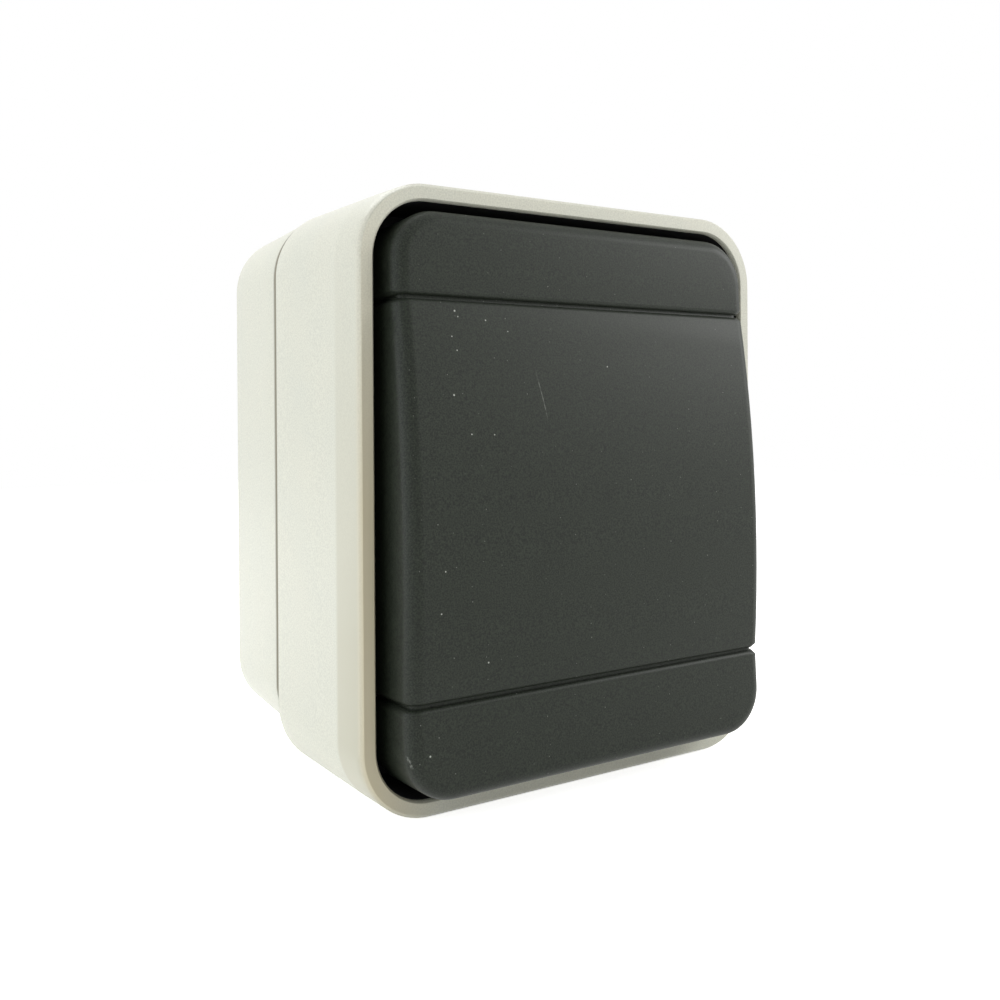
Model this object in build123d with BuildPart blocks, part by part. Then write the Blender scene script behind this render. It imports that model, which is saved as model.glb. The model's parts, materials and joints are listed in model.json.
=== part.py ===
from build123d import *
from math import atan, cos, degrees, radians, sin
import os

# A surface-mounted, splash-proof pushbutton switch. A pale back box screws to the wall, a pale cover
# closes it, and a dark full-face key rocks on the switch insert inside. The key rests tilted, with its
# lower edge out. Pressing it there pushes a plunger in, and a bridge closes two contacts.
#
# Millimetres, +Z up. The wall is the plane Y = 0, the front looks along -Y, and the origin is the
# centre of the back. A height is a distance out from the wall, and a spot is (X, Z) on it.

# Housing: cover and back box
front_width = 66.0
front_height = 79.0
front_corner = 9.5
housing_depth = 46.2
cover_depth = 26.5
crease_depth = 6.65
crease_flare = 0.22
split_flare = 0.60
ring_width = 2.1
ring_outer_chamfer = 0.4
ring_inner_chamfer = 0.25
seam_gap = 0.6
seam_chamfer = 0.3
web_height = 34.0
web_thickness = 2.0

box_side_step = 0.2
box_bottom_step = 2.85
box_draft = 0.78
box_wall = 2.4
box_floor = 2.0
box_edge_chamfer = 0.5
lip_thickness = 1.2
lip_height = 2.2
lip_clearance = 0.2
gasket_thickness = 1.0

# Screws that hold the cover, and their posts
cover_screw_inset_x = 8.7
cover_screw_inset_z = 11.7
cover_post_radius = 3.4
cover_post_height = 24.0
cover_screw_radius = 1.7
cover_screw_length = 21.0
cover_head_radius = 2.9
cover_head_height = 2.0
seal_washer_thickness = 0.8
screw_fit = 0.05
screw_clearance = 0.2

# Wall slots, cable entries and the rear knock-out
slot_spacing_x = 28.0
slot_spacing_z = 52.0
slot_length = 7.0
slot_width = 4.4
entry_height = 10.2
entry_radius = 6.0
entry_boss_radius = 8.0
entry_wall = 2.1
entry_recess = 0.9
grommet_flange = 1.2
grommet_overlap = 1.4
grommet_membrane = 0.9
grommet_nipple_radius = 3.8
grommet_nipple_height = 2.6
knockout_radius = 10.0
knockout_groove = 1.2
knockout_skin = 0.8
knockout_z = 10.0

# Key and its pivot
key_side_gap = 1.6
key_end_gap = 1.35
key_drop = 0.4
key_corner_gap = 0.9
key_crown = 5.5
key_panel_radius = 210.0
key_band_width = 11.45
key_groove_width = 0.5
key_groove_depth = 0.9
key_edge_round = 2.0
key_lip_chamfer = 0.55
key_wall = 2.0
key_tilt = 3.1
pivot_depth = 6.0
lining_thickness = 0.6
lining_setback = 0.8
lining_flange = 3.0

# Carrier that the key snaps on
carrier_width = 36.0
carrier_thickness = 1.8
cheek_inner = 12.4
cheek_thickness = 1.8
cheek_radius = 4.0
trunnion_radius = 1.95
trunnion_length = 3.0
trunnion_fit = 0.05
toe_inset = 8.0
toe_reach = 5.2
toe_radius = 1.5
toe_width = 5.0
hook_x = 11.0
hook_width = 8.0
hook_thickness = 1.5
hook_nib = 0.7
hook_fit = 0.1
rib_x = 5.0
rib_thickness = 1.2
rib_height = 1.12

# Switch insert
insert_side_margin = 10.0
insert_end_margin = 16.5
insert_corner = 2.0
insert_seal_thickness = 2.0
insert_cover_thickness = 3.0
insert_base_depth = 19.0
window_lap = 2.0
window_corner = 3.0
ear_reach = 3.3
ear_radius = 3.0
ear_setback = 2.0
ear_thickness = 2.5
lug_thickness = 3.0
lug_width = 8.0
lug_round = 3.6
lug_gap = 0.3
insert_screw_inset_x = 5.0
insert_screw_inset_z = 7.0
insert_screw_radius = 1.5
insert_screw_length = 9.0
fixing_screw_gap = 1.5
insert_head_radius = 2.6
insert_head_height = 1.6
core_pocket = 14.0
core_pocket_x = 10.0
core_pocket_z = 6.5
core_pocket_wall = 3.0

# Plunger, contacts and springs
plunger_size = 7.7
plunger_fit = 0.15
plunger_tail = 7.0
plunger_gap = 0.25
plunger_collar = 9.4
collar_gap = 0.2
collar_thickness = 1.8
spigot_radius = 1.4
spigot_length = 1.6
pocket_width = 20.0
pocket_height = 12.0
well_width = 9.6
well_wall = 3.0
bar_width = 4.0
bar_thickness = 0.8
bar_depth = 9.5
bar_inner_x = 5.0
bar_overlap = 2.8
tip_x = 6.5
tip_radius = 1.5
tip_thickness = 1.0
contact_gap = 1.52
bridge_length = 17.0
bridge_fit = 0.15
leaf_thickness = 0.3
leaf_span = 10.0
leaf_width = 3.6
leaf_space = 2.5
spring_radius = 2.3
spring_wire = 0.3
spring_turns = 4
spring_seat = 0.05

# Terminals
clamp_inset = 6.0
clamp_size = 6.8
clamp_wall = 0.8
clamp_top_wall = 1.5
chamber_floor = 4.0
clamp_opening = 5.2
chamber_fit = 0.3
terminal_screw_radius = 1.7
terminal_screw_length = 5.0
terminal_head_radius = 2.5
terminal_head_height = 1.8
driver_hole_radius = 2.8
wire_radius = 1.8
driver_slot = 0.7
earth_gap = 2.0
earth_length = 16.0
earth_width = 7.0
earth_depth = 9.0
earth_screw_pitch = 8.0
earth_wire_height = 5.5
earth_chamfer = 0.6
cradle_wall = 1.4
cradle_height = 3.0

# Sizes that follow
split_height = housing_depth - cover_depth
cover_rear = split_height + seam_gap / 2
box_rim = split_height - seam_gap / 2
web_rear = web_height - web_thickness
split_width = front_width + 2 * split_flare
split_tall = front_height + 2 * split_flare
opening_width = front_width - 2 * ring_width
opening_height = front_height - 2 * ring_width
opening_corner = front_corner - ring_width
box_width = split_width - 2 * box_side_step
box_top = split_tall / 2 - box_side_step
box_bottom = box_bottom_step - split_tall / 2
box_tall = box_top - box_bottom
box_middle = (box_top + box_bottom) / 2
box_rim_corner = front_corner + split_flare - box_side_step
box_slant = degrees(atan(box_draft / box_rim))
lip_inset = box_wall - lip_thickness
rebate_inset = lip_inset - lip_clearance
cover_inset = box_wall
gasket_rear = box_rim + lip_height
rebate_top = gasket_rear + gasket_thickness
cover_screw_x = front_width / 2 - cover_screw_inset_x
cover_screw_z = front_height / 2 - cover_screw_inset_z
cover_screws_at = [(cover_screw_x, cover_screw_z), (-cover_screw_x, -cover_screw_z)]
insert_width = front_width - 2 * insert_side_margin
insert_height = front_height - 2 * insert_end_margin
insert_front = web_rear - insert_seal_thickness
insert_split = insert_front - insert_cover_thickness
insert_rear = insert_split - insert_base_depth
insert_screw_x = insert_width / 2 - insert_screw_inset_x
insert_screw_z = insert_height / 2 - insert_screw_inset_z
insert_screws_at = [(insert_screw_x, insert_screw_z), (-insert_screw_x, insert_screw_z)]
window_width = insert_width - 2 * window_lap
window_height = insert_height - 2 * window_lap
ear_x = insert_width / 2 + ear_reach
ear_rear = insert_rear + ear_setback
fixing_screw_seat = ear_rear + ear_thickness
toe_z = toe_inset - insert_height / 2
carrier_height = -2 * toe_z
clamp_x = insert_width / 2 - clamp_inset
clamp_rear = insert_rear + chamber_floor
well_floor = insert_rear + well_wall
bar_height = insert_split - bar_depth
bar_outer_x = clamp_x + bar_overlap
plunger_rear = insert_split - plunger_tail
earth_z = insert_height / 2 + earth_gap + earth_width / 2
key_width = opening_width - 2 * key_side_gap
key_height = opening_height - 2 * key_end_gap
key_corner = opening_corner - key_corner_gap
key_top = key_height / 2 - key_drop
key_bottom = -key_height / 2 - key_drop
key_groove_z = key_height / 2 - key_band_width
pivot_height = housing_depth - pivot_depth
key_apex = pivot_depth + key_crown
key_shoulder = key_apex - key_groove_z**2 / (2 * key_panel_radius)
trunnion_start = cheek_inner + cheek_thickness
lug_inner = trunnion_start + lug_gap
carrier_top = key_apex - key_wall - rib_height
carrier_bottom = carrier_top - carrier_thickness
hook_near = carrier_height / 2 + hook_fit
hook_catch = carrier_bottom - hook_fit
hook_root = key_apex - key_wall / 2 - hook_near**2 / (2 * key_panel_radius)
toe_centre = toe_reach - toe_radius
toe_height = pivot_height - toe_z * sin(radians(key_tilt)) - toe_centre * cos(radians(key_tilt))
plunger_front = toe_height - toe_radius - plunger_gap
bar_rear = bar_height - bar_thickness
fixed_tip_front = bar_height + tip_thickness
bridge_rear = fixed_tip_front + contact_gap + tip_thickness
bridge_front = bridge_rear + bar_thickness
leaf_front = bridge_front + leaf_space
entry_wall_slope = box_draft * (box_rim - entry_height) / box_rim


def level(height):
    """The plane parallel to the wall at a height above it, facing out."""
    return Plane.XZ.offset(height)


# The key's own plane lies through its pivot and faces out of its front. The side plane has the
# same centre, with X up the key's face and Y out of it.
key_plane = Plane(
    origin=(0, -pivot_height, 0),
    x_dir=(1, 0, 0),
    z_dir=(0, -cos(radians(key_tilt)), sin(radians(key_tilt))),
)
key_side = Plane(origin=key_plane.origin, x_dir=key_plane.y_dir, z_dir=(1, 0, 0))
key_axis = Axis(key_plane.origin, key_plane.y_dir)


def rim_section(height, inset):
    """The back box's outline at its rim, drawn in by an inset, at any height."""
    with BuildSketch(level(height)) as section:
        with Locations((0, box_middle)):
            RectangleRounded(box_width - 2 * inset, box_tall - 2 * inset, box_rim_corner - inset)
    return section.sketch


def front_section(height, growth):
    """The front ring's outer outline at a height, grown by an amount all round."""
    with BuildSketch(level(height)) as section:
        RectangleRounded(front_width + 2 * growth, front_height + 2 * growth, front_corner + growth)
    return section.sketch


def screw(spots, seat, head_radius, head_height, radius, length, slot=driver_slot):
    """Slotted screws pointing at the wall, with the underside of their heads at a height."""
    with BuildPart() as screws:
        with BuildSketch(level(seat)):
            with Locations(*spots):
                Circle(head_radius)
        extrude(amount=head_height)
        with BuildSketch(level(seat)):
            with Locations(*spots):
                Circle(radius)
        extrude(amount=-length)
        with BuildSketch(level(seat + head_height)):
            with Locations(*spots):
                Rectangle(2 * head_radius, slot)
        extrude(amount=-head_height / 2, mode=Mode.SUBTRACT)
    return screws.part


def save(part, name):
    """Labels a piece and writes its file."""
    part.label = name
    export_step(part, f"parts/{name}.step")


os.makedirs("parts", exist_ok=True)

# Back box: drafted tray with a sealing lip, screw posts, wall slots and two cable entries
with BuildPart() as back_box:
    extrude(rim_section(box_rim, 0), amount=-box_rim, taper=box_slant)
    chamfer(back_box.faces().sort_by(Axis.Y)[-1].edges(), box_edge_chamfer)
    chamfer(back_box.faces().sort_by(Axis.Y)[0].edges(), seam_chamfer)
    extrude(rim_section(box_rim, lip_inset), amount=lip_height)
    extrude(
        rim_section(box_rim, box_wall),
        amount=box_floor - box_rim,
        taper=box_slant,
        mode=Mode.SUBTRACT,
    )
    extrude(rim_section(box_rim, box_wall), amount=lip_height, mode=Mode.SUBTRACT)
    with BuildSketch(level(box_floor)):
        with Locations(*cover_screws_at):
            Circle(cover_post_radius)
    extrude(amount=cover_post_height - box_floor)
    with BuildSketch(level(box_floor)):
        with GridLocations(2 * ear_x, 0, 2, 1):
            Circle(ear_radius)
    extrude(amount=ear_rear - box_floor)
    with BuildSketch(level(box_floor)):
        with Locations((0, earth_z)):
            Rectangle(earth_length + 2 * cradle_wall, earth_width + 2 * cradle_wall)
            Rectangle(earth_length, earth_width, mode=Mode.SUBTRACT)
    extrude(amount=cradle_height)
    # Flat seats for the grommets, inside and outside the slanting walls
    for side, wall in ((1, box_top), (-1, box_bottom)):
        outside = abs(wall) - entry_wall_slope
        seat = outside - entry_recess
        with BuildSketch(Plane.XY.offset(side * (seat - entry_wall))):
            with Locations((0, -entry_height)):
                Rectangle(2 * entry_boss_radius, 2 * (entry_height - box_floor))
        extrude(amount=side * entry_wall / 2)
        with BuildSketch(Plane.XY.offset(side * seat)):
            with Locations((0, -entry_height)):
                Circle(entry_radius + grommet_overlap + lip_clearance)
        extrude(amount=side * 2 * entry_recess, mode=Mode.SUBTRACT)
        with BuildSketch(Plane.XY.offset(side * (seat - 2 * entry_wall))):
            with Locations((0, -entry_height)):
                Circle(entry_radius)
        extrude(amount=side * 3 * entry_wall, mode=Mode.SUBTRACT)
    with BuildSketch(level(0)):
        with GridLocations(slot_spacing_x, slot_spacing_z, 2, 2):
            SlotOverall(slot_length, slot_width)
    extrude(amount=box_floor, mode=Mode.SUBTRACT)
    with BuildSketch(level(box_floor)):
        with Locations((0, knockout_z)):
            Circle(knockout_radius)
            Circle(knockout_radius - knockout_groove, mode=Mode.SUBTRACT)
    extrude(amount=knockout_skin - box_floor, mode=Mode.SUBTRACT)
    with BuildSketch(level(cover_post_height)):
        with Locations(*cover_screws_at):
            Circle(cover_screw_radius + screw_fit)
    extrude(amount=box_floor - cover_post_height, mode=Mode.SUBTRACT)
    with BuildSketch(level(ear_rear)):
        with GridLocations(2 * ear_x, 0, 2, 1):
            Circle(insert_screw_radius + screw_fit)
    extrude(amount=box_floor - ear_rear, mode=Mode.SUBTRACT)
save(back_box.part, "back_box")

# Gasket on the box's lip, pressed by the shoulder inside the cover
with BuildPart() as box_gasket:
    extrude(rim_section(gasket_rear, lip_inset), amount=gasket_thickness)
    extrude(rim_section(gasket_rear, box_wall), amount=gasket_thickness, mode=Mode.SUBTRACT)
save(box_gasket.part, "box_gasket")

# Front cover: drafted frame with a crease, the key's opening, and an inner web with the insert's window
with BuildPart() as front_cover:
    band_slant = degrees(atan(crease_flare / crease_depth))
    extrude(front_section(housing_depth, 0), amount=-crease_depth, taper=-band_slant)
    skirt_depth = housing_depth - crease_depth - cover_rear
    skirt_slant = degrees(atan((split_flare - crease_flare) / skirt_depth))
    extrude(
        front_section(housing_depth - crease_depth, crease_flare),
        amount=-skirt_depth,
        taper=-skirt_slant,
    )
    chamfer(front_cover.faces().sort_by(Axis.Y)[0].edges(), ring_outer_chamfer)
    chamfer(front_cover.faces().sort_by(Axis.Y)[-1].edges(), seam_chamfer)
    with BuildSketch(level(housing_depth)):
        RectangleRounded(opening_width, opening_height, opening_corner)
    extrude(amount=web_height - housing_depth, mode=Mode.SUBTRACT)
    ring_face = front_cover.faces().sort_by(Axis.Y)[0]
    chamfer(ring_face.inner_wires()[0].edges(), ring_inner_chamfer)
    with BuildSketch(level(housing_depth - lining_setback)):
        RectangleRounded(
            opening_width + 2 * lining_thickness,
            opening_height + 2 * lining_thickness,
            opening_corner + lining_thickness,
        )
    extrude(amount=web_height - housing_depth + lining_setback, mode=Mode.SUBTRACT)
    extrude(rim_section(cover_rear, cover_inset), amount=web_rear - cover_rear, mode=Mode.SUBTRACT)
    extrude(rim_section(cover_rear, rebate_inset), amount=rebate_top - cover_rear, mode=Mode.SUBTRACT)
    with BuildSketch(level(web_rear)):
        with Locations(*cover_screws_at):
            Circle(cover_post_radius)
    extrude(amount=cover_post_height - web_rear)
    with BuildSketch(level(web_rear)):
        RectangleRounded(window_width, window_height, window_corner)
    extrude(amount=web_thickness, mode=Mode.SUBTRACT)
    head_well = cover_head_radius + screw_clearance
    with Locations(level(web_height)):
        with Locations(*cover_screws_at):
            CounterBoreHole(
                cover_screw_radius + screw_clearance,
                head_well,
                cover_head_height + seal_washer_thickness,
            )
save(front_cover.part, "front_cover")

# Black elastic lining of the key's opening, in a recess behind the ring, with a flange on the web
with BuildPart() as opening_lining:
    with BuildSketch(level(web_height)):
        RectangleRounded(
            opening_width + 2 * lining_thickness,
            opening_height + 2 * lining_thickness,
            opening_corner + lining_thickness,
        )
        RectangleRounded(opening_width, opening_height, opening_corner, mode=Mode.SUBTRACT)
    extrude(amount=housing_depth - lining_setback - web_height)
    with BuildSketch(level(web_height)):
        RectangleRounded(opening_width, opening_height, opening_corner)
        offset(amount=-lining_flange, mode=Mode.SUBTRACT)
    extrude(amount=lining_thickness)
save(opening_lining.part, "opening_lining")

# Cable grommets: a flange on each side of the wall, with a nipple inside closed by a membrane outside
grommet_radius = entry_radius + grommet_overlap
for side, wall, name in ((1, box_top, "top_grommet"), (-1, box_bottom, "bottom_grommet")):
    seat = abs(wall) - entry_wall_slope - entry_recess
    with BuildPart() as grommet:
        with BuildSketch(Plane.YZ):
            with BuildLine():
                outline = [
                    (0, seat + grommet_flange),
                    (grommet_radius, seat + grommet_flange),
                    (grommet_radius, seat),
                    (entry_radius, seat),
                    (entry_radius, seat - entry_wall),
                    (grommet_radius, seat - entry_wall),
                    (grommet_radius, seat - entry_wall - grommet_flange),
                    (grommet_nipple_radius, seat - entry_wall - grommet_flange),
                    (grommet_nipple_radius, seat - entry_wall - grommet_nipple_height),
                    (0, seat - entry_wall - grommet_nipple_height),
                ]
                Polyline(*[(r - entry_height, side * z) for r, z in outline], close=True)
            make_face()
        revolve(axis=Axis((0, -entry_height, 0), (0, 0, 1)))
        with BuildSketch(Plane.XY.offset(side * (seat - entry_wall - grommet_nipple_height))):
            with Locations((0, -entry_height)):
                Circle(grommet_nipple_radius - grommet_membrane)
        bore_depth = grommet_flange + entry_wall + grommet_nipple_height - grommet_membrane
        extrude(amount=side * bore_depth, mode=Mode.SUBTRACT)
    save(grommet.part, name)

# Cover screws with their sealing washers, in wells under the key
washer_seat = web_height - cover_head_height - seal_washer_thickness
cover_screws = screw(
    cover_screws_at,
    washer_seat + seal_washer_thickness,
    cover_head_radius,
    cover_head_height,
    cover_screw_radius,
    cover_screw_length,
)
save(cover_screws, "cover_screws")

with BuildPart() as cover_screw_seals:
    with BuildSketch(level(washer_seat)):
        with Locations(*cover_screws_at):
            Circle(cover_head_radius)
            Circle(cover_screw_radius + screw_fit, mode=Mode.SUBTRACT)
    extrude(amount=seal_washer_thickness)
save(cover_screw_seals.part, "cover_screw_seals")

# Gasket between the cover's web and the insert
with BuildPart() as insert_seal:
    with BuildSketch(level(insert_front)):
        RectangleRounded(insert_width, insert_height, insert_corner)
        RectangleRounded(window_width, window_height, window_corner, mode=Mode.SUBTRACT)
    extrude(amount=web_rear - insert_front)
save(insert_seal.part, "insert_seal")

# Insert base: well and ledges for plunger and contacts, two terminal chambers, two ears
with BuildPart() as insert_base:
    with BuildSketch(level(insert_rear)):
        RectangleRounded(insert_width, insert_height, insert_corner)
    extrude(amount=insert_split - insert_rear)
    with BuildSketch(level(ear_rear)):
        SlotCenterToCenter(2 * ear_x, 2 * ear_radius)
    extrude(amount=ear_thickness)
    with BuildSketch(level(insert_split)):
        with Locations((0, toe_z)):
            Rectangle(pocket_width, pocket_height)
            Rectangle(2 * clamp_x, bar_width + 2 * bridge_fit)
    extrude(amount=bar_rear - insert_split, mode=Mode.SUBTRACT)
    with BuildSketch(level(bar_rear)):
        with Locations((0, toe_z)):
            Rectangle(well_width, well_width)
    extrude(amount=well_floor - bar_rear, mode=Mode.SUBTRACT)
    with BuildSketch(level(well_floor)):
        with Locations((0, toe_z)):
            Circle(spigot_radius)
    extrude(amount=spigot_length)
    with BuildSketch(level(insert_split)):
        with Locations((-clamp_x, toe_z), (clamp_x, toe_z)):
            Rectangle(clamp_size + 2 * chamber_fit, clamp_size + 2 * chamber_fit)
    extrude(amount=clamp_rear - insert_split, mode=Mode.SUBTRACT)
    wire_height = (clamp_rear + clamp_wall + bar_rear) / 2
    with BuildSketch(Plane.YZ.offset(clamp_x)):
        with Locations((-wire_height, toe_z)):
            Circle(wire_radius)
    extrude(amount=insert_width / 2 - clamp_x, mode=Mode.SUBTRACT)
    with BuildSketch(Plane.YZ.offset(-clamp_x)):
        with Locations((-wire_height, toe_z)):
            Circle(wire_radius)
    extrude(amount=clamp_x - insert_width / 2, mode=Mode.SUBTRACT)
    with BuildSketch(level(insert_rear)):
        with Locations((-core_pocket_x, core_pocket_z), (core_pocket_x, core_pocket_z)):
            Rectangle(core_pocket, core_pocket)
    extrude(amount=insert_split - insert_rear - core_pocket_wall, mode=Mode.SUBTRACT)
    with BuildSketch(level(insert_split)):
        with Locations(*insert_screws_at):
            Circle(insert_screw_radius + screw_fit)
    extrude(amount=-insert_screw_length, mode=Mode.SUBTRACT)
    with BuildSketch(level(ear_rear)):
        with GridLocations(2 * ear_x, 0, 2, 1):
            Circle(insert_screw_radius + screw_clearance)
    extrude(amount=ear_thickness, mode=Mode.SUBTRACT)
save(insert_base.part, "insert_base")

# Insert cover: plate with the plunger's guide, driver holes and the two bearing lugs
with BuildPart() as insert_cover:
    with BuildSketch(level(insert_split)):
        RectangleRounded(insert_width, insert_height, insert_corner)
    extrude(amount=insert_front - insert_split)
    with BuildSketch(Plane.YZ.offset(lug_inner)):
        with Locations((-(insert_front + pivot_height) / 2, 0)):
            Rectangle(pivot_height - insert_front, lug_width)
        with Locations((-pivot_height, 0)):
            Circle(lug_round)
    extrude(amount=lug_thickness)
    mirror(about=Plane.YZ)
    with BuildSketch(Plane.YZ.offset(lug_inner)):
        with Locations((-pivot_height, 0)):
            Circle(trunnion_radius + trunnion_fit)
    extrude(amount=lug_thickness, mode=Mode.SUBTRACT)
    with BuildSketch(Plane.YZ.offset(-lug_inner)):
        with Locations((-pivot_height, 0)):
            Circle(trunnion_radius + trunnion_fit)
    extrude(amount=-lug_thickness, mode=Mode.SUBTRACT)
    with BuildSketch(level(insert_split)):
        with Locations((0, toe_z)):
            Rectangle(plunger_size + 2 * plunger_fit, plunger_size + 2 * plunger_fit)
        with Locations((-clamp_x, toe_z), (clamp_x, toe_z)):
            Circle(driver_hole_radius)
    extrude(amount=insert_front - insert_split, mode=Mode.SUBTRACT)
    with Locations(level(insert_front)):
        with Locations(*insert_screws_at):
            CounterBoreHole(
                insert_screw_radius + screw_clearance,
                insert_head_radius + screw_clearance,
                insert_head_height,
                depth=insert_front - insert_split,
            )
save(insert_cover.part, "insert_cover")

insert_cover_screws = screw(
    insert_screws_at,
    insert_front - insert_head_height,
    insert_head_radius,
    insert_head_height,
    insert_screw_radius,
    insert_screw_length,
)
save(insert_cover_screws, "insert_cover_screws")

insert_fixing_screws = screw(
    [(-ear_x, 0), (ear_x, 0)],
    fixing_screw_seat,
    insert_head_radius,
    insert_head_height,
    insert_screw_radius,
    fixing_screw_seat - box_floor - fixing_screw_gap,
)
save(insert_fixing_screws, "insert_fixing_screws")

# Terminals: a brass bar on each side, with its fixed contact tip, clamp and screw
bar_length = bar_outer_x - bar_inner_x
bar_centre = (bar_outer_x + bar_inner_x) / 2
for side, name in ((-1, "line_contact_bar"), (1, "load_contact_bar")):
    with BuildPart() as contact_bar:
        with BuildSketch(level(bar_rear)):
            with Locations((side * bar_centre, toe_z)):
                Rectangle(bar_length, bar_width)
        extrude(amount=bar_thickness)
    save(contact_bar.part, name)

with BuildPart() as fixed_contact_tips:
    with BuildSketch(level(bar_height)):
        with Locations((-tip_x, toe_z), (tip_x, toe_z)):
            Circle(tip_radius)
    extrude(amount=tip_thickness)
save(fixed_contact_tips.part, "fixed_contact_tips")

with BuildPart() as terminal_clamps:
    clamp_front = bar_height + clamp_wall + clamp_top_wall
    with BuildSketch(level(clamp_rear)):
        with Locations((-clamp_x, toe_z), (clamp_x, toe_z)):
            Rectangle(clamp_size, clamp_size)
    extrude(amount=clamp_front - clamp_rear)
    with BuildSketch(Plane.YZ):
        with Locations((-(clamp_rear + clamp_wall + clamp_front - clamp_top_wall) / 2, toe_z)):
            Rectangle(clamp_front - clamp_top_wall - clamp_rear - clamp_wall, clamp_opening)
    extrude(amount=insert_width / 2, both=True, mode=Mode.SUBTRACT)
    with BuildSketch(level(clamp_front)):
        with Locations((-clamp_x, toe_z), (clamp_x, toe_z)):
            Circle(terminal_screw_radius + screw_fit)
    extrude(amount=-clamp_top_wall, mode=Mode.SUBTRACT)
save(terminal_clamps.part, "terminal_clamps")

terminal_screws = screw(
    [(-clamp_x, toe_z), (clamp_x, toe_z)],
    bar_height + terminal_screw_length,
    terminal_head_radius,
    terminal_head_height,
    terminal_screw_radius,
    terminal_screw_length,
)
save(terminal_screws, "terminal_screws")

# Loose earth terminal in its cradle on the box's floor
earth_front = box_floor + earth_depth
earth_screws_at = [(-earth_screw_pitch / 2, earth_z), (earth_screw_pitch / 2, earth_z)]
with BuildPart() as earth_terminal:
    with BuildSketch(level(box_floor)):
        with Locations((0, earth_z)):
            Rectangle(earth_length, earth_width)
    extrude(amount=earth_depth)
    chamfer(earth_terminal.edges().group_by(Axis.Y)[0], earth_chamfer)
    with BuildSketch(Plane.YZ):
        with Locations((-(box_floor + earth_wire_height), earth_z)):
            Circle(wire_radius)
    extrude(amount=earth_length, both=True, mode=Mode.SUBTRACT)
    with BuildSketch(level(earth_front)):
        with Locations(*earth_screws_at):
            Circle(insert_screw_radius + screw_fit)
    extrude(amount=earth_wire_height - earth_depth, mode=Mode.SUBTRACT)
save(earth_terminal.part, "earth_terminal")

earth_terminal_screws = screw(
    earth_screws_at,
    earth_front,
    insert_head_radius,
    insert_head_height,
    insert_screw_radius,
    earth_depth - earth_wire_height - wire_radius,
)
save(earth_terminal_screws, "earth_terminal_screws")


def key_form(inset, low, high):
    """The key between two places up its face, solid down to its rim and drawn in by an inset."""
    top = key_top - inset
    bottom = key_bottom + inset
    with BuildPart() as form:
        with BuildSketch(key_side):
            with BuildLine():
                Polyline(
                    (-key_groove_z, key_shoulder - inset),
                    (bottom, key_shoulder - inset),
                    (bottom, 0),
                    (top, 0),
                    (top, key_shoulder - inset),
                    (key_groove_z, key_shoulder - inset),
                )
                ThreePointArc(
                    (-key_groove_z, key_shoulder - inset),
                    (0, key_apex - inset),
                    (key_groove_z, key_shoulder - inset),
                )
            make_face()
        extrude(amount=key_width / 2 - inset, both=True)
        with BuildSketch(key_plane):
            with Locations((0, -key_drop)):
                RectangleRounded(key_width - 2 * inset, top - bottom, key_corner - inset)
        extrude(amount=2 * key_apex, mode=Mode.INTERSECT)
        with BuildSketch(key_plane):
            with Locations((0, (low + high) / 2)):
                Rectangle(key_width, high - low)
        extrude(amount=2 * key_apex, mode=Mode.INTERSECT)
    return form.part


def lies_at(edge, places):
    """Whether an edge lies at one of the places up the key's face."""
    return any(abs(key_plane.to_local_coords(edge.center()).Y - place) < 0.01 for place in places)


def key_block(low, high):
    """One of the key's three raised fields, with rounded front edges and slanted lips at the grooves."""
    at_groove = [z for z in (low, high) if key_bottom < z < key_top]
    with BuildPart() as block:
        add(key_form(0, low, high))
        face = [f for f in block.faces() if f.normal_at().dot(key_plane.z_dir) > 0.9][0]
        fillet([e for e in face.edges() if not lies_at(e, at_groove)], key_edge_round)
        for z in at_groove:
            end = block.faces().sort_by(key_axis)[0 if z == low else -1]
            lip = [e for e in end.edges() if key_plane.to_local_coords(e.center()).Z > 0.001]
            chamfer(lip, key_lip_chamfer)
    return block.part


# Key: three raised fields on a common core, hollow behind, with ribs and hooks for the carrier
groove_low = key_groove_z - key_groove_width / 2
groove_high = key_groove_z + key_groove_width / 2
with BuildPart() as core:
    add(key_form(key_groove_depth, -key_height, key_height))
    fronts = [f for f in core.faces() if f.normal_at().dot(key_plane.z_dir) > 0.9]
    creases = (-key_groove_z, key_groove_z)
    rims = [e for f in fronts for e in f.edges() if not lies_at(e, creases)]
    fillet(rims, key_edge_round - key_groove_depth)
key_fields = [
    key_block(key_bottom, -groove_high),
    key_block(-groove_low, groove_low),
    key_block(groove_high, key_top),
]
key_hollow = key_form(key_wall, -key_height, key_height)
with BuildPart() as rocker:
    add(core.part)
    for field in key_fields:
        add(field)
    add(key_hollow, mode=Mode.SUBTRACT)
    with BuildSketch(key_plane.offset(carrier_top)):
        with GridLocations(2 * rib_x, 0, 2, 1):
            Rectangle(rib_thickness, carrier_height - 2 * hook_thickness)
    extrude(amount=key_apex - carrier_top - key_wall / 2)
    for x in (-hook_x, hook_x):
        for side in (-1, 1):
            with BuildSketch(key_side.offset(x - hook_width / 2)):
                with BuildLine():
                    Polyline(
                        (side * hook_near, hook_root),
                        (side * hook_near, hook_catch),
                        (side * (hook_near - hook_nib), hook_catch),
                        (side * hook_near, hook_catch - hook_thickness),
                        (side * (hook_near + hook_thickness), hook_catch - hook_thickness),
                        (side * (hook_near + hook_thickness), hook_root),
                        close=True,
                    )
                make_face()
            extrude(amount=hook_width)
save(rocker.part, "rocker")

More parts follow.
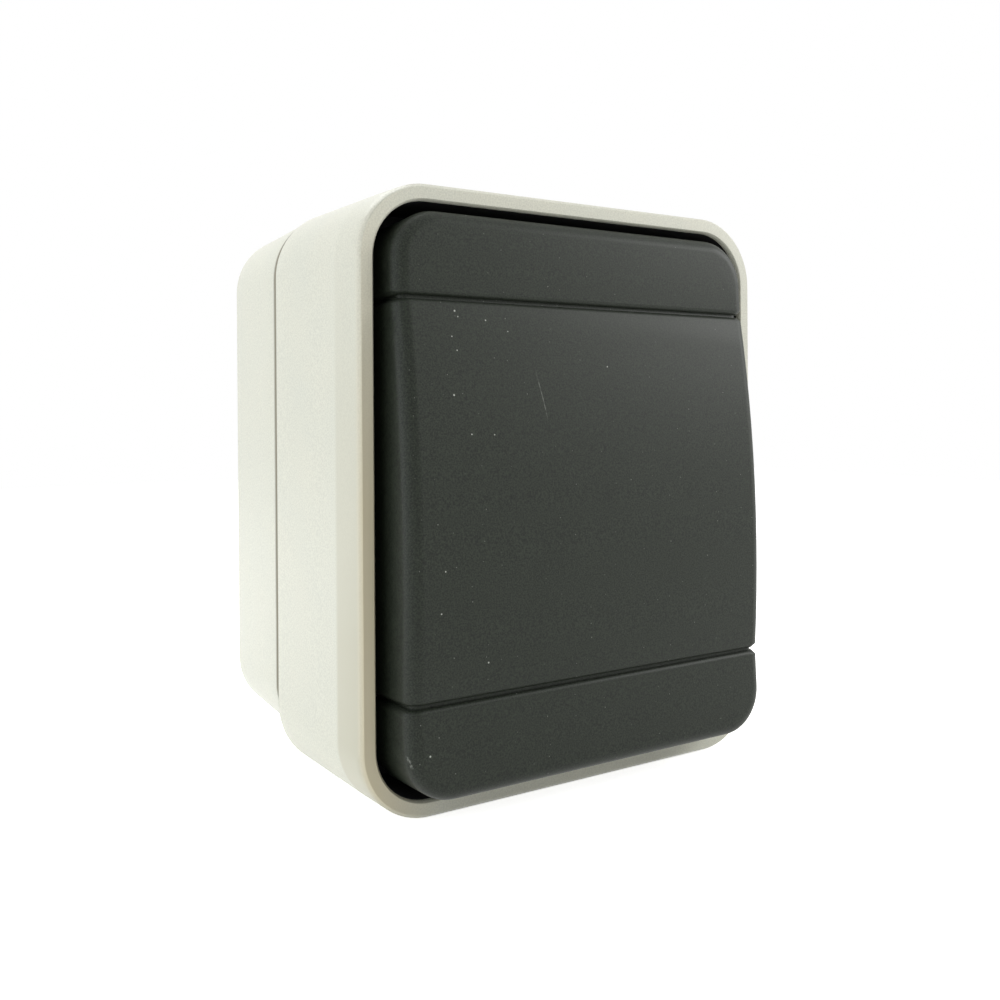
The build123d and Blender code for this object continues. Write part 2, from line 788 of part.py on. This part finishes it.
# Carrier: plate that the key's hooks grip, cheeks with trunnions, and the toe over the plunger
with BuildPart() as rocker_carrier:
    with BuildSketch(key_plane.offset(carrier_bottom)):
        RectangleRounded(carrier_width, carrier_height, insert_corner)
    extrude(amount=carrier_thickness)
    for side in (-1, 1):
        with BuildSketch(key_side.offset(side * cheek_inner)):
            Circle(cheek_radius)
            with Locations((0, carrier_bottom / 2)):
                Rectangle(2 * cheek_radius, carrier_bottom)
        extrude(amount=side * cheek_thickness)
        with BuildSketch(key_side.offset(side * trunnion_start)):
            Circle(trunnion_radius)
        extrude(amount=side * trunnion_length)
    with BuildSketch(key_side.offset(-toe_width / 2)):
        with Locations((toe_z, -toe_centre)):
            Circle(toe_radius)
        with Locations((toe_z, (carrier_bottom - toe_centre) / 2)):
            Rectangle(2 * toe_radius, carrier_bottom + toe_centre)
    extrude(amount=toe_width)
save(rocker_carrier.part, "rocker_carrier")

# Plunger: square slider with a collar, a window for the bridge and a spigot for the spring
with BuildPart() as plunger:
    with BuildSketch(level(plunger_rear)):
        with Locations((0, toe_z)):
            Rectangle(plunger_size, plunger_size)
    extrude(amount=plunger_front - plunger_rear)
    with BuildSketch(level(insert_split - collar_gap)):
        with Locations((0, toe_z)):
            Rectangle(plunger_collar, plunger_collar)
    extrude(amount=-collar_thickness)
    with BuildSketch(Plane.YZ):
        with Locations((-(bridge_rear + leaf_front) / 2, toe_z)):
            Rectangle(leaf_front - bridge_rear, bar_width + 2 * bridge_fit)
    extrude(amount=plunger_size, both=True, mode=Mode.SUBTRACT)
    with BuildSketch(level(plunger_rear)):
        with Locations((0, toe_z)):
            Circle(spigot_radius)
    extrude(amount=-spigot_length)
save(plunger.part, "plunger")

with BuildPart() as contact_bridge:
    with BuildSketch(level(bridge_rear)):
        with Locations((0, toe_z)):
            SlotOverall(bridge_length, bar_width)
    extrude(amount=bar_thickness)
save(contact_bridge.part, "contact_bridge")

with BuildPart() as bridge_tips:
    with BuildSketch(level(bridge_rear)):
        with Locations((-tip_x, toe_z), (tip_x, toe_z)):
            Circle(tip_radius)
    extrude(amount=-tip_thickness)
save(bridge_tips.part, "bridge_tips")

# Bowed leaf spring between the bridge and the front of the plunger's window
with BuildPart() as contact_spring:
    with BuildSketch(Plane.XY.offset(toe_z - leaf_width / 2)):
        with BuildLine():
            foot = leaf_span / 2
            heel = -bridge_front - leaf_thickness
            ThreePointArc((-foot, -bridge_front), (0, leaf_thickness - leaf_front), (foot, -bridge_front))
            Line((foot, -bridge_front), (foot, heel))
            ThreePointArc((foot, heel), (0, -leaf_front), (-foot, heel))
            Line((-foot, heel), (-foot, -bridge_front))
        make_face()
    extrude(amount=leaf_width)
save(contact_spring.part, "contact_spring")

# Helical return spring between the well's floor and the plunger
spring_length = plunger_rear - well_floor - 2 * (spring_wire + spring_seat)
spring_start = (0, -(well_floor + spring_wire + spring_seat), toe_z)
with BuildPart() as return_spring:
    with BuildLine() as coil:
        Helix(spring_length / spring_turns, spring_length, spring_radius, spring_start, (0, -1, 0))
    with BuildSketch(Plane(origin=coil.line @ 0, z_dir=coil.line % 0)):
        RegularPolygon(spring_wire, 6)
    sweep(is_frenet=True)
save(return_spring.part, "return_spring")
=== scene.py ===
import json
import math

import bmesh
import bpy
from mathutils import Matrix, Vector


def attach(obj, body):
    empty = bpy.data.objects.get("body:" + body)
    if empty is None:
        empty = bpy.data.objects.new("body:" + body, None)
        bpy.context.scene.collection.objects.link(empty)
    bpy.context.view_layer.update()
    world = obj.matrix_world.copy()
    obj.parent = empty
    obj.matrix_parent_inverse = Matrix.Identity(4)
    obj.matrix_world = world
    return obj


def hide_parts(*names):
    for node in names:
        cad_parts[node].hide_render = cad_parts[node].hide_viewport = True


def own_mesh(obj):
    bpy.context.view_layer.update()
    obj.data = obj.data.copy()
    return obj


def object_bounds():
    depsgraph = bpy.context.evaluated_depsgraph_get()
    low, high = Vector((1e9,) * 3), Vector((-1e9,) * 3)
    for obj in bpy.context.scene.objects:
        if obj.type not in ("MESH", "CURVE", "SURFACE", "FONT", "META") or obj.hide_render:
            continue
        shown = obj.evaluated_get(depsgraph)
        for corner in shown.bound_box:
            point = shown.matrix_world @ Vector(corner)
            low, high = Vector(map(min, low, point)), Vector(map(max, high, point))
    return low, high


# The looks of a surface-mounted pushbutton switch: a pale moulded housing in two shells, and a dark
# moulded key with a fine grain, a few dust specks, a thin scratch and a scuff. The hidden pieces behind
# the key keep the shapes of the CAD and get the finish of what they are made of.
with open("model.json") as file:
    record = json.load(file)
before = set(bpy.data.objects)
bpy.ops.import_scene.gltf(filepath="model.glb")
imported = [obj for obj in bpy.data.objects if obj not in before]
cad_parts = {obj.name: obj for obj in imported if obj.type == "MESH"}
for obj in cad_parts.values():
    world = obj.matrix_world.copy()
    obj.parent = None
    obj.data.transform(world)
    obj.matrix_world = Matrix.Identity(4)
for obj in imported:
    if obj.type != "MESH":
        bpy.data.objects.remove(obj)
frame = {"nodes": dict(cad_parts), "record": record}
cad_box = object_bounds()
nodes = frame["nodes"]

MM = 0.001

# Depths along the switch in millimetres, which fall from 0 at the wall: where shade is painted in the
# joint between the two shells, the crease round the cover's sides, the front of the ring, and the plane
# that the key's face stands out of
JOINT_Y = -19.55
CREASE_Y = -39.55
RING_Y = -46.2
FACE_Y = -50.2

# A copied mesh is welded where its points lie this near, and its edges shade round below this angle
MERGE = 0.002 * MM
SMOOTH_ANGLE = math.radians(50)

# The sockets of a Mix node that mixes colours, which have the same names as its other sockets
MIX_SHARE = 0
MIX_FROM = 6
MIX_TO = 7
MIX_RESULT = 2

# The parts of a noise's values over which a colour drifts, and over which a grain's flecks go from dark
# to light
DRIFT_SPAN = (0.3, 0.7)
FLECK_SPAN = (0.35, 0.65)

# The share by which a surface is less rough in the hollows of its grain and rougher on its tops
GLOSS_CHANGE = 0.1


def linear(hex_colour):
    """The linear colour of an sRGB hex value."""
    channels = [int(hex_colour[i:i + 2], 16) / 255 for i in (1, 3, 5)]
    return [c / 12.92 if c <= 0.04045 else ((c + 0.055) / 1.055) ** 2.4 for c in channels] + [1.0]


def per_mm(size):
    """The scale of a pattern on Object coordinates whose cells are a size in millimetres."""
    return 1 / (size * MM)


def cleared(owner):
    """The node tree of a material or a world, emptied."""
    owner.use_nodes = True
    owner.node_tree.nodes.clear()
    return owner.node_tree


def node(tree, kind, inputs=None, **settings):
    """Adds a shader node with its settings, and sets or links its inputs."""
    made = tree.nodes.new("ShaderNode" + kind)
    for name, value in settings.items():
        setattr(made, name, value)
    for name, value in (inputs or {}).items():
        socket = made.inputs[name]
        if isinstance(value, bpy.types.NodeSocket):
            tree.links.new(value, socket)
        else:
            socket.default_value = value
    return made


def faded(tree, value, gone, full):
    """A mask that is 0 where a value is at gone and 1 where it is at full."""
    return node(tree, "MapRange", {"Value": value, "From Min": gone, "From Max": full}).outputs[0]


def joined(tree, masks, operation):
    """Several masks as one, by their product or their largest."""
    result = masks[0]
    for mask in masks[1:]:
        result = node(tree, "Math", {0: result, 1: mask}, operation=operation).outputs[0]
    return result


def distance(tree, value, place):
    """How far a value lies from a place, on either side of it."""
    offset = node(tree, "Math", {0: value, 1: place}, operation="SUBTRACT").outputs[0]
    return node(tree, "Math", {0: offset}, operation="ABSOLUTE").outputs[0]


def in_mm(tree, place):
    """Object coordinates in millimetres, and each of their axes."""
    scaled = node(tree, "VectorMath", {0: place, "Scale": 1 / MM}, operation="SCALE").outputs[0]
    return scaled, node(tree, "SeparateXYZ", {0: scaled}).outputs


def finish(name, colour, roughness, grain, height, tint, patch, fleck=0.03, marks_and_shade=None, **shader):
    """A surface whose colour drifts to a tint over patches, with a grain that makes it uneven and flecks
    it darker and lighter by a share. The patches, the grain and its height are in millimetres. Marks
    and painted shade give masks and colours that lie over it."""
    made = bpy.data.materials.new(name)
    tree = cleared(made)
    place = node(tree, "TexCoord").outputs["Object"]
    drift = node(tree, "TexNoise", {"Vector": place, "Scale": per_mm(patch), "Detail": 3.0}).outputs["Fac"]
    paint = node(
        tree,
        "Mix",
        {MIX_SHARE: faded(tree, drift, *DRIFT_SPAN), MIX_FROM: linear(colour), MIX_TO: linear(tint)},
        data_type="RGBA",
    ).outputs[MIX_RESULT]
    bumps = node(tree, "TexNoise", {"Vector": place, "Scale": per_mm(grain), "Detail": 2.0}).outputs["Fac"]
    relief = node(tree, "Bump", {"Height": bumps, "Distance": height * MM, "Strength": 1.0})
    low, high = FLECK_SPAN
    flecks = node(
        tree,
        "MapRange",
        {"Value": bumps, "From Min": low, "From Max": high, "To Min": 1 - fleck, "To Max": 1 + fleck},
    )
    flecked = {0: paint, "Scale": flecks.outputs[0]}
    paint = node(tree, "VectorMath", flecked, operation="SCALE").outputs[0]
    for mask, mark_and_shade_colour in marks_and_shade(tree, place) if marks_and_shade else []:
        mixed = {MIX_SHARE: mask, MIX_FROM: paint, MIX_TO: linear(mark_and_shade_colour)}
        paint = node(tree, "Mix", mixed, data_type="RGBA").outputs[MIX_RESULT]
    gloss = node(
        tree,
        "MapRange",
        {
            "Value": bumps,
            "To Min": roughness * (1 - GLOSS_CHANGE),
            "To Max": roughness * (1 + GLOSS_CHANGE),
        },
    )
    surface = node(
        tree,
        "BsdfPrincipled",
        {
            "Base Color": paint,
            "Roughness": gloss.outputs[0],
            "Normal": relief.outputs[0],
            **shader,
        },
    )
    node(tree, "OutputMaterial", {"Surface": surface.outputs[0]})
    return made


# The larger specks of dust on the key: their places across and up from the switch's middle, and their
# radii, in millimetres. A speck is full over the inner part of its radius.
SPECKS = [
    (-21.4, 23.5, 0.16),
    (-21.0, 22.8, 0.1),
    (-17.0, 22.5, 0.12),
    (-13.8, 21.2, 0.1),
    (-22.1, 20.3, 0.11),
    (-21.5, 18.6, 0.11),
    (-22.4, 13.1, 0.16),
    (-20.2, 8.3, 0.12),
    (-16.9, 8.2, 0.1),
    (1.8, 17.0, 0.12),
    (-24.5, -8.0, 0.12),
    (-25.1, -13.0, 0.12),
    (-18.4, -19.7, 0.14),
    (-26.7, -29.7, 0.15),
]
SPECK_CORE = 0.4

# Finer dust, in cells of this many millimetres: which cells have a speck by their chance value, the
# speck's edge and core as shares of a cell, and how its strength follows a second chance value
DUST_CELL = 2.3
DUST_CHANCE = (0.55, 0.9)
DUST_SIZE = (0.032, 0.012)
DUST_STRENGTH = (0.0, 1.6)

# Each line mark on the key: the middle height and the reach up and down of its run, the terms of the curve
# that gives its place across, its half width, the size of the breaks in it, and its strength
SCRATCH = (16.0, 6.3, (-9.93, -0.183, 0.0203, 0.00268), 0.09, 0.6, 0.28)
SCUFF = (-30.3, 0.8, (-28.95, -0.32, 0.0, 0.0), 0.14, 0.3, 0.33)

# A line mark is full over these shares of its half width and reach, fades as a noise falls from the
# second of these values to the first, and is kept off the key's sides by a fade of some millimetres
LINE_CORE = 0.3
LINE_TAPER = 0.7
LINE_BREAKS = (0.36, 0.6)
FACE_FADE = 0.3

MARK_COLOUR = "#C2C5BC"


def key_marks(tree, place):
    """Dust specks, a thin broken scratch and a scuff near the lower left corner of the key's face."""
    scaled, axes = in_mm(tree, place)
    face = node(tree, "CombineXYZ", {"X": axes["X"], "Y": axes["Z"]}).outputs[0]
    masks = []
    for across, up, radius in SPECKS:
        ends = {0: face, 1: (across, up, 0)}
        away = node(tree, "VectorMath", ends, operation="DISTANCE").outputs["Value"]
        masks.append(faded(tree, away, radius, radius * SPECK_CORE))
    cells = {"Vector": face, "Scale": 1 / DUST_CELL}
    dust = node(tree, "TexVoronoi", cells, voronoi_dimensions="2D").outputs
    chance = node(tree, "SeparateColor", {0: dust["Color"]}).outputs
    fine_dust = [
        faded(tree, chance["Red"], *DUST_CHANCE),
        faded(tree, dust["Distance"], *DUST_SIZE),
        faded(tree, chance["Green"], *DUST_STRENGTH),
    ]
    masks.append(joined(tree, fine_dust, "MULTIPLY"))
    for middle, reach, terms, half_width, gap, strength in (SCRATCH, SCUFF):
        run = node(tree, "Math", {0: axes["Z"], 1: middle}, operation="SUBTRACT").outputs[0]
        across = terms[-1]
        for term in reversed(terms[:-1]):
            step = {0: across, 1: run, 2: term}
            across = node(tree, "Math", step, operation="MULTIPLY_ADD").outputs[0]
        away = distance(tree, axes["X"], across)
        along = distance(tree, axes["Z"], middle)
        breaks = node(tree, "TexNoise", {"Vector": scaled, "Scale": 1 / gap, "Detail": 3.0})
        line = [
            faded(tree, away, half_width, half_width * LINE_CORE),
            faded(tree, along, reach, reach * LINE_TAPER),
            faded(tree, breaks.outputs["Fac"], *LINE_BREAKS),
            faded(tree, axes["Y"], FACE_Y, FACE_Y - FACE_FADE),
            strength,
        ]
        masks.append(joined(tree, line, "MULTIPLY"))
    return [(joined(tree, masks, "MAXIMUM"), MARK_COLOUR)]


# How far the painted shade in the joint reaches in millimetres, and the share of that over which it is
# full
JOINT_SHADE_REACH = 0.95
JOINT_SHADE_CORE = 0.45
JOINT_SHADE_COLOUR = "#8E8875"

# Two tones fitted at the cover's lower left, both painted shade: a yellower tone on the ring's left, where
# the key shades it and the shade is warm, and a duller band between the crease and the ring, where that
# facet turns away from the light. Two tones fitted to the photograph at the cover's lower left: yellower
# on the ring, and duller between the crease and the ring. They may come from its light and not from the
# plastic, the duller one most likely, as it begins at the crease. Each pair gives where a tone is gone and
# full, in millimetres.
LEFTWARD = (-22.0, -31.0)
WARM_SHADE_FORWARD = (-44.8, RING_Y)
WARM_SHADE_DOWNWARD = (40.0, 0.0)
WARM_SHADE_COLOUR = "#D8CEB0"
FACET_SHADE_FROM_CREASE = (-39.4, -40.1)
FACET_SHADE_TO_RING = (-46.1, -45.4)
FACET_SHADE_DOWNWARD = (40.0, -18.0)
FACET_SHADE_COLOUR = "#CAC7B3"


def housing_painted_shade(tree, place):
    """Painted shade in the joint between the two shells, and two painted shades at the cover's lower left.
    """
    axes = in_mm(tree, place)[1]
    # Painted shade along the joint between the two shells, darkest at the joint itself
    joint_shade = faded(tree, distance(tree, axes["Y"], JOINT_Y), JOINT_SHADE_REACH, JOINT_SHADE_REACH * JOINT_SHADE_CORE)
    leftward = faded(tree, axes["X"], *LEFTWARD)
    forward = faded(tree, axes["Y"], *WARM_SHADE_FORWARD)
    # The fade towards the front counts twice, so that the warm painted shade gathers on the ring itself
    warm_shade = [forward, forward, leftward, faded(tree, axes["Z"], *WARM_SHADE_DOWNWARD)]
    # Painted shade on the band between the crease and the ring, where it turns away from the light
    facet_shade = [
        faded(tree, axes["Y"], *FACET_SHADE_FROM_CREASE),
        faded(tree, axes["Y"], *FACET_SHADE_TO_RING),
        leftward,
        faded(tree, axes["Z"], *FACET_SHADE_DOWNWARD),
    ]
    return [
        (joined(tree, facet_shade, "MULTIPLY"), FACET_SHADE_COLOUR),
        (joined(tree, warm_shade, "MULTIPLY"), WARM_SHADE_COLOUR),
        (joint_shade, JOINT_SHADE_COLOUR),
    ]


# ASA, injection moulded in a spark-eroded tool: a warm grey-white with a broad, soft shine. Its real
# grain, under a tenth of a millimetre wide, is too fine to show, so it is drawn 0.22 mm wide.
housing_asa = finish(
    "asa_spark_eroded",
    "#DCDBCB",
    roughness=0.38,
    grain=0.22,
    height=0.004,
    tint="#D9D9CA",
    patch=9.0,
    fleck=0.075,
    # The housing carries painted shade along its joint and at the cover's lower left
    marks_and_shade=housing_painted_shade,
    IOR=1.5,
)

# ABS for the key, moulded in a spark-eroded tool too: dark grey, with a deeper grain that makes it more
# matt than the housing and sparkle a little. That grain is drawn as coarse as it needs to show, 0.2 mm.
key_abs = finish(
    "abs_dark_grained",
    "#22271F",
    roughness=0.5,
    grain=0.2,
    height=0.006,
    tint="#242921",
    patch=7.0,
    fleck=0.6,
    marks_and_shade=key_marks,
    **{"IOR": 1.5, "Specular IOR Level": 0.24},
)

# Moulded EPDM rubber: the key's lining is black and swallows light, the gaskets are dark and dull. The
# grain of these and of all that follows is drawn coarser than it is too, so that it can show. Each line
# gives the colour, the roughness, the grain and its height, the tint and its patches.
lining_rubber = finish("epdm_lining", "#050505", 0.8, 0.1, 0.003, "#070707", 4.0, IOR=1.5)
seal_rubber = finish("epdm_seal", "#1C1C1B", 0.75, 0.1, 0.003, "#202020", 4.0, IOR=1.5)

# Moulded soft elastomer: the cable entries' grommets are pale grey and matt
grommet_rubber = finish("tpe_grommet", "#BDBCB2", 0.6, 0.1, 0.003, "#B8B7AD", 4.0, IOR=1.5)

# The insert's mouldings: cool grey urea, cream polyamide and off-white acetal, all with a dull shine
insert_urea = finish("urea_insert", "#8C8F92", 0.45, 0.2, 0.003, "#878A8D", 5.0, IOR=1.5)
insert_cover_pa = finish("polyamide_insert_cover", "#D6D3C6", 0.5, 0.2, 0.003, "#D0CDC0", 5.0, IOR=1.53)
carrier_pom = finish("acetal_carrier", "#DEDDD6", 0.4, 0.2, 0.002, "#DAD9D1", 5.0, IOR=1.48)

# The insert's metals: steel with a bluish zinc plating, darker drawn spring wire, yellow brass stamped
# from rolled sheet, and bright silver contact rivets
zinc_steel = finish("zinc_plated_steel", "#B4B7BA", 0.32, 0.12, 0.002, "#A9ACAF", 2.0, Metallic=1.0)
spring_wire = finish("drawn_spring_wire", "#8F9296", 0.3, 0.08, 0.001, "#85888C", 1.0, Metallic=1.0)
brass = finish("stamped_brass", "#C9A95B", 0.3, 0.12, 0.002, "#BD9D50", 2.0, Metallic=1.0)
silver = finish("contact_silver", "#D9DADB", 0.25, 0.1, 0.001, "#CFD0D2", 1.0, Metallic=1.0)

SLOT_FINISH = {
    "housing_plastic": housing_asa,
    "key_plastic": key_abs,
    "lining_rubber": lining_rubber,
    "seal_rubber": seal_rubber,
    "grommet_rubber": grommet_rubber,
    "insert_plastic": insert_urea,
    "insert_cover_plastic": insert_cover_pa,
    "carrier_plastic": carrier_pom,
    "zinc_steel": zinc_steel,
    "spring_steel": spring_wire,
    "brass": brass,
    "contact_silver": silver,
}
slot_of = {part["node"]: part["material_slot"] for part in frame["record"]["subparts"]}
for name, part in nodes.items():
    part.data.materials.clear()
    part.data.materials.append(SLOT_FINISH[slot_of[name]])


def added(name, data):
    """A new object in the scene, made from a mesh, a lamp or a camera."""
    made = bpy.data.objects.new(name, data)
    bpy.context.scene.collection.objects.link(made)
    return made


def lies_at(edge, depth):
    """Whether an edge runs round the switch at a depth in millimetres."""
    return all(abs(corner.co.y - depth * MM) < MERGE for corner in edge.verts)


def softened(name, new_name, body):
    """A copy of a CAD piece as one welded surface, its edges shaded round by the faces beside them. Its
    sharp edges, the cover's crease and the ring's front edge stay crisp."""
    mesh = nodes[name].data.copy()
    mesh.name = new_name
    shape = bmesh.new()
    shape.from_mesh(mesh)
    bmesh.ops.remove_doubles(shape, verts=shape.verts, dist=MERGE)
    for face in shape.faces:
        face.smooth = True
    for edge in shape.edges:
        crisp = lies_at(edge, CREASE_Y) or lies_at(edge, RING_Y)
        edge.smooth = edge.calc_face_angle(0) < SMOOTH_ANGLE and not crisp
    shape.to_mesh(mesh)
    shape.free()
    if "custom_normal" in mesh.attributes:
        mesh.attributes.remove(mesh.attributes["custom_normal"])
    piece = added(new_name, mesh)
    weighted = piece.modifiers.new("Weighted", "WEIGHTED_NORMAL")
    weighted.keep_sharp = True
    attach(piece, body)
    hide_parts(name)
    return piece


softened("front_cover", "cover_moulding", "housing")
softened("back_box", "box_moulding", "housing")
softened("rocker", "key_moulding", "key")

# The return spring stands on the floor of its well, with a mesh of its own
coil = softened("return_spring", "return_coil", "housing")
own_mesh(coil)

WHITE = (1, 1, 1, 1)


def seen_directly(tree, amount):
    """An amount for camera, mirror and glass rays, and nothing for the rays that light a surface."""
    path = node(tree, "LightPath").outputs
    rays = [path["Is Camera Ray"], path["Is Glossy Ray"], path["Is Transmission Ray"]]
    return joined(tree, [joined(tree, rays, "MAXIMUM"), amount], "MULTIPLY")


# Stage: a pale floor under the switch, which glows to the camera so that it looks white round the
# switch's shadow, and a world that is white to the camera and lights the switch only softly
FLOOR_SIZE = 1.2
FLOOR_GLOW = 0.8
BACKDROP = 1.0
AIR = 0.27

floor_z = cad_box[0][2]
bpy.ops.mesh.primitive_plane_add(size=FLOOR_SIZE, location=(0, 0, floor_z))
floor = bpy.context.object
floor.name = "floor"
floor_paint = bpy.data.materials.new("floor_paint")
tree = cleared(floor_paint)
matt = node(tree, "BsdfDiffuse", {"Color": linear("#F4F4F2")})
glow = node(tree, "Emission", {"Color": WHITE, "Strength": seen_directly(tree, FLOOR_GLOW)})
both = node(tree, "AddShader", {0: matt.outputs[0], 1: glow.outputs[0]})
node(tree, "OutputMaterial", {"Surface": both.outputs[0]})
floor.data.materials.append(floor_paint)

world = bpy.data.worlds.new("studio")
bpy.context.scene.world = world
tree = cleared(world)
air = node(tree, "Background", {"Color": WHITE, "Strength": AIR})
white = node(tree, "Background", {"Color": WHITE, "Strength": BACKDROP})
sky = node(tree, "MixShader", {0: seen_directly(tree, 1.0), 1: air.outputs[0], 2: white.outputs[0]})
node(tree, "OutputWorld", {"Surface": sky.outputs[0]})

# Each lamp is a square soft light: its name, its place and what it faces, its side in metres, its power
# in watts and its colour. Two stand at the left, one above and behind, a weak one high in front, and
# the strongest at the right.
LAMPS = [
    ("left_window", (-0.5, -0.05, 0.2), (-0.03, -0.03, 0), 0.6, 1.08, "#F4F9FF"),
    ("left_light", (-0.26, 0.10, 0.06), (-0.03, -0.02, 0), 0.2, 0.17, "#F4F9FF"),
    ("top_light", (-0.05, 0.2, 0.45), (0, -0.02, 0), 0.3, 1.3, "#FFFFFF"),
    ("front_light", (0.1, -0.5, 0.6), (0, -0.046, 0), 0.4, 0.3, "#FFFFFF"),
    ("right_light", (0.6, -0.35, 0.3), (0, -0.046, 0), 0.3, 3.2, "#FFFFFF"),
]
for name, position, aim, side, watts, colour in LAMPS:
    lamp = bpy.data.lights.new(name, "AREA")
    lamp.shape = "SQUARE"
    lamp.size = side
    lamp.energy = watts
    lamp.color = linear(colour)[:3]
    holder = added(name, lamp)
    holder.location = position
    direction = holder.location - type(holder.location)(aim)
    holder.rotation_euler = direction.to_track_quat("Z", "Y").to_euler()

# Camera, solved from the photograph's own straight edges: level with the switch, to the left of its front
CAMERA_PLACE = (-84.69 * MM, -156.15 * MM, 11.01 * MM)
CAMERA_TURN = (math.pi / 2 - 0.003918, 0.006216, -0.549218)

lens = bpy.data.cameras.new("camera")
lens.sensor_width = 36
lens.lens = 36.341
lens.shift_x = 0.02971
lens.shift_y = -0.08388
lens.clip_start = 0.01
camera = added("camera", lens)
camera.location = CAMERA_PLACE
camera.rotation_euler = CAMERA_TURN
bpy.context.scene.camera = camera
bpy.context.scene.view_settings.view_transform = "Standard"
